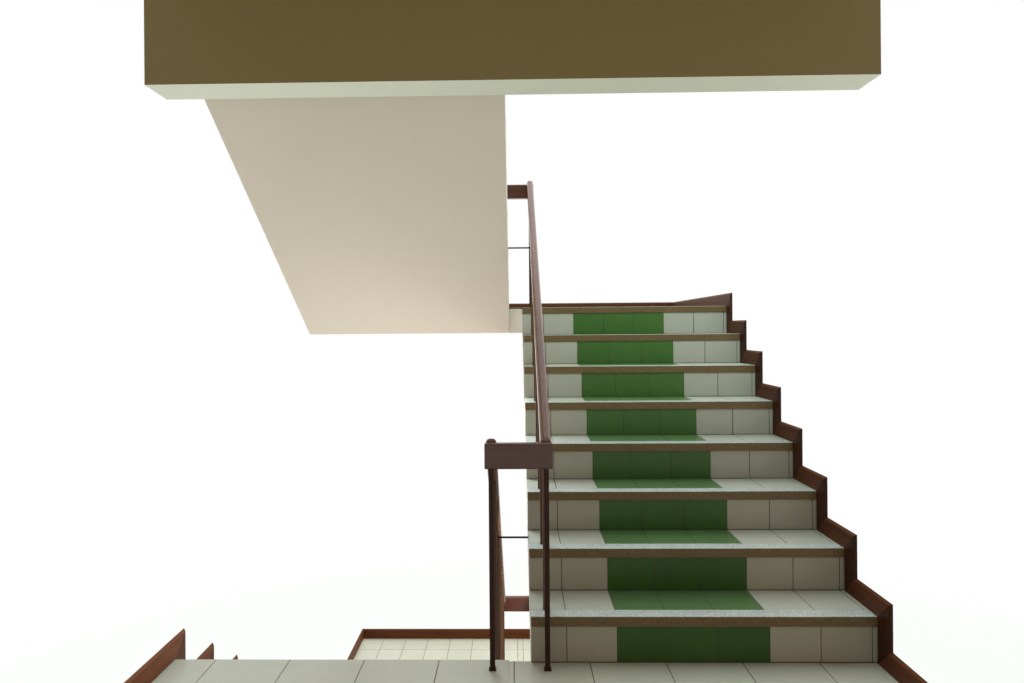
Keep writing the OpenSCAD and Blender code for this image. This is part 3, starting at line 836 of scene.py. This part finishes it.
def rakedRail(flight):
    # x = bar line + side, y = along, z = top at the start + slope * (y - start) + height / cos(rake)
    farEnd = farNewelY - crossRail["thickness"] / 2
    nearEnd = nearNewelY + crossRail["thickness"] / 2
    endHeight = crossRail["height"] + rail["rise"]
    if flight % 2:
        start, end = nearEnd - firstY, farEnd - firstY
        topAtStart = endHeight
    else:
        start, end = leftFirstY - farEnd, leftFirstY - nearEnd
        topAtStart = flightRise + endHeight - (end - start) * math.tan(rake)
    own, faces, grain, tone = carriedProfile(barOutline(rail, rail["width"]), start, end, rail["ease"])
    top = topAtStart + (own[:, 0] - start) * math.tan(rake)
    points = np.stack([rail["barIn"] + own[:, 2], own[:, 0], top + own[:, 1] / math.cos(rake)], 1)
    makePiece(f"flight{flight}Rail", fromFlight(flight, points), faces, "rail",
              [f"flight_{flight}_handrail"], {"boardTone": tone}, grain)


def crossRails():
    # x = along, y = newel line - side, z = landing + height + outline's height
    outline = barOutline(crossRail, crossRail["thickness"])
    left, right = wellX - crossRail["width"] / 2, wellX + crossRail["width"] / 2
    first = rightX + rail["barIn"] - rail["width"] / 2
    # rows of start, end, newel line, landing and tone
    bars = [(first, first + rail["width"], nearNewelY, 0.0, 0.0)]
    for storey in (1, 2):
        bars += [(left, right, nearNewelY, storey * 2 * flightRise, 0.0),
                 (left, right, farNewelY, (2 * storey - 1) * flightRise, crossRail["halfLandingTone"])]
    guard = [(right, wallRightX, nearNewelY, 4 * flightRise, 0.0)]
    for name, rows, node in (("crossRailBars", bars, "cross_rails"),
                             ("topGuardRailBar", guard, "top_guard_rail")):
        start, end, line, landing, lift = np.array(rows).T
        own, faces, grain, tone = carriedProfile(outline, start, end, crossRail["ease"])
        each = len(own) // len(rows)
        points = np.stack([own[:, 0], np.repeat(line, each) - own[:, 2],
                           np.repeat(landing, each) + crossRail["height"] + own[:, 1]], 1)
        tone += np.repeat(lift, each)
        makePiece(name, points, faces, "crossRail", [node], {"boardTone": tone}, grain)


for flight in (1, 2, 3, 4):
    rakedRail(flight)
crossRails()
print("handrails shaped")

# ---- steel bars and slabs, whose solids stay

rubbedEdge = {"steel": 0.0012, "baluster": 0.0012, "plaster": 0.0040, "terrazzo": 0.0015}
rubbing = {"weld": 0.00002, "segments": 2, "fromAngle": math.radians(40)}


def rubEdges(node, width):
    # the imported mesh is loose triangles, so its corners are welded before its edges are rounded
    weld = node.modifiers.new("weldCorners", "WELD")
    weld.merge_threshold = rubbing["weld"]
    bevel = node.modifiers.new("rubbedEdge", "BEVEL")
    bevel.width, bevel.segments, bevel.limit_method = width, rubbing["segments"], "ANGLE"
    bevel.angle_limit = rubbing["fromAngle"]
    bevel.use_clamp_overlap = True


# ---- finishes on the solids, by the end of each name; the posts, rods and guard bars get the steel finish, the dark copy of the bar paint: painted shade

nameEnds = (("_slab", "plaster"), ("_beam", "beam"), ("_nosings", "terrazzo"), ("_skirting", "skirting"),
            ("cross_rails", "crossRail"), ("top_guard_rail", "crossRail"), ("_handrail", "rail"),
            ("_balusters", "baluster"), ("_white_tiles", "white"), ("_green_tiles", "green"),
            ("half_landing_tiles", "cream"), ("floor_landing_tiles", "floor"))
for name, node in nodes.items():
    finish = next((finish for end, finish in nameEnds if name.endswith(end)), "steel")
    if finish in rubbedEdge:
        rubEdges(node, rubbedEdge[finish])
    node.data.materials.clear()
    node.data.materials.append(finishes[finish])

# ---- floor, light and camera

room = {
    "floorSize": 60.0,
    "floorBelow": 0.002,
    "paper": "#D6D6D2",
    "paperGlow": 0.12,
    "floorNear": 4.0,         # the shadow shows up to here and fades out to the far radius
    "floorFar": 11.0,
    "frontLight": 0.32,       # the world from the viewer's side, a little warm
    "frontColour": "#FFE4CB",
    "backLight": 1.00,        # and from behind the stair, where it is cool
    "backColour": "#F0FBFF",
}
lamps = {
    # place, aim, size, power and colour; four of them are small and near the stair
    "overFarEnd": ((-2.1, 11.5, 31.5), (-0.7, 1.0, 4.0), 20.0, 5000.0, "#E9FBFF"),
    "overNearEnd": ((-0.6, -12.0, 31.5), (0.0, 1.4, 4.0), 5.0, 4600.0, "#E8FFF8"),
    "underStair": ((-1.5, 1.0, 3.0), (-1.45, 1.75, 4.5), 1.5, 10.5, "#FDFEFF"),
    "topStep": ((0.45, 0.15, 5.45), (0.0, 1.7, 4.25), 0.7, 12.0, "#B6ECFF"),
    "lowerStep": ((0.0, 0.6, 2.6), (-0.8, 2.2, 1.9), 0.6, 14.0, "#FFF3E6"),
    "leftStep": ((-1.2, 1.0, 4.2), (-1.8, -0.3, 2.93), 0.8, 27.0, "#DCEFFF"),
    "fromRight": ((5.0, 1.5, 4.6), (-0.9, 0.6, 4.2), 2.5, 170.0, "#F6FFFC"),
}


def seenBySight(tree):
    # 1 for camera, mirror and see-through rays, 0 for the rays that light the object
    path, larger = addNode(tree, "LightPath").outputs, {"operation": "MAXIMUM"}
    seen = addNode(tree, "Math", larger, {0: path["Is Camera Ray"], 1: path["Is Glossy Ray"]})
    return addNode(tree, "Math", larger, {0: seen, 1: path["Is Transmission Ray"]})


def paleStage():
    # paper near the stair takes its shadow; further out it goes over to plain white
    material, tree, place = newMaterial("palePaper")
    paper = addNode(tree, "BsdfDiffuse", {"Color": srgb(room["paper"])})
    glow = addNode(tree, "Emission", {"Strength": room["paperGlow"]})
    both = addNode(tree, "AddShader", {}, {0: paper, 1: glow})
    away = addNode(tree, "VectorMath", {"operation": "LENGTH"}, {0: place})
    fade = addNode(tree, "MapRange", {"interpolation_type": "SMOOTHSTEP", 1: room["floorNear"],
                                      2: room["floorFar"]}, {0: away.outputs["Value"]})
    white = addNode(tree, "Emission")
    fading = addNode(tree, "MixShader", {}, {0: fade, 1: both, 2: white})
    shown = addNode(tree, "MixShader", {}, {0: seenBySight(tree), 1: paper, 2: fading})
    addNode(tree, "OutputMaterial", {}, {"Surface": shown})
    half, low = room["floorSize"] / 2, -room["floorBelow"]
    mesh = bpy.data.meshes.new("studioFloor")
    mesh.from_pydata([(-half, -half, low), (half, -half, low), (half, half, low), (-half, half, low)],
                     [], [(0, 1, 2, 3)])
    floor = bpy.data.objects.new("studioFloor", mesh)
    floor.data.materials.append(material)
    scene.collection.objects.link(floor)


def paleWorld():
    # light and tint go from front to back with the direction's Y; sight rays see plain white
    world = bpy.data.worlds.new("paleRoom")
    scene.world = world
    world.use_nodes = True
    tree = world.node_tree
    tree.nodes.clear()
    way = addNode(tree, "SeparateXYZ", {}, {0: addNode(tree, "TexCoord").outputs["Generated"]})
    turned = addNode(tree, "MapRange", {1: -1.0, 2: 1.0}, {0: way.outputs["Y"]})
    light = addNode(tree, "MapRange", {3: room["frontLight"], 4: room["backLight"]}, {0: turned})
    tint = addNode(tree, "Mix", {"data_type": "RGBA", 6: srgb(room["frontColour"]),
                                 7: srgb(room["backColour"])}, {0: turned})
    seen = seenBySight(tree)
    strength = addNode(tree, "Mix", {3: 1.0}, {0: seen, 2: light})
    colour = addNode(tree, "Mix", {"data_type": "RGBA", 7: srgb("#FFFFFF")}, {0: seen, 6: tint.outputs[2]})
    sky = addNode(tree, "Background", {}, {"Color": colour.outputs[2], "Strength": strength})
    addNode(tree, "OutputWorld", {}, {"Surface": sky})


def softLamp(name, place, aim, size, power, colour):
    # a square lamp whose -Z looks along aim - place; only its light is seen
    lamp = bpy.data.lights.new(name, "AREA")
    lamp.shape, lamp.size, lamp.energy = "SQUARE", size, power
    lamp.color = srgb(colour)[:3]
    holder = bpy.data.objects.new(name, lamp)
    holder.location = place
    holder.rotation_euler = (Vector(aim) - Vector(place)).to_track_quat("-Z", "Y").to_euler()
    holder.visible_camera = False
    holder.visible_glossy = False
    scene.collection.objects.link(holder)


paleStage()
paleWorld()
for name, settings in lamps.items():
    softLamp(name, *settings)

photo = {
    "width": 1024,
    "height": 683,
    "focalPixels": 632.99,
    "middleX": 502.78,        # where the view axis meets the picture
    "middleY": 328.31,
    "fromWell": -0.0145,      # camera's place from the middle of the well
    "fromNosing": 2.5083,     # from the front of flight 3's first nosing
    "eyeHeight": 1.3257,      # above the first floor landing
    "turn": 0.017417,         # to the left, radians
    "roll": -0.0077432,
    "sensor": 36.0,           # millimetres
    "clipEnd": 200.0,
}


def photoCamera():
    # lens = sensor * focal length in pixels / picture's width; shift = (half a side - axis) / width
    data = bpy.data.cameras.new("landingCamera")
    data.sensor_width = photo["sensor"]
    data.lens = photo["focalPixels"] / photo["width"] * data.sensor_width
    data.shift_x = (photo["width"] / 2 - photo["middleX"]) / photo["width"]
    data.shift_y = -(photo["height"] / 2 - photo["middleY"]) / photo["width"]
    data.clip_end = photo["clipEnd"]
    camera = bpy.data.objects.new("landingCamera", data)
    scene.collection.objects.link(camera)
    turned = (Matrix.Rotation(photo["turn"], 3, "Z") @ Matrix.Rotation(math.pi / 2, 3, "X")
              @ Matrix.Rotation(photo["roll"], 3, "Z"))
    camera.rotation_euler = turned.to_euler()
    camera.location = (wellX + photo["fromWell"], firstY - stair["overhang"] - photo["fromNosing"],
                       2 * flightRise + photo["eyeHeight"])
    scene.camera = camera


photoCamera()
scene.view_settings.view_transform = "Standard"
print("stage, light and camera set")
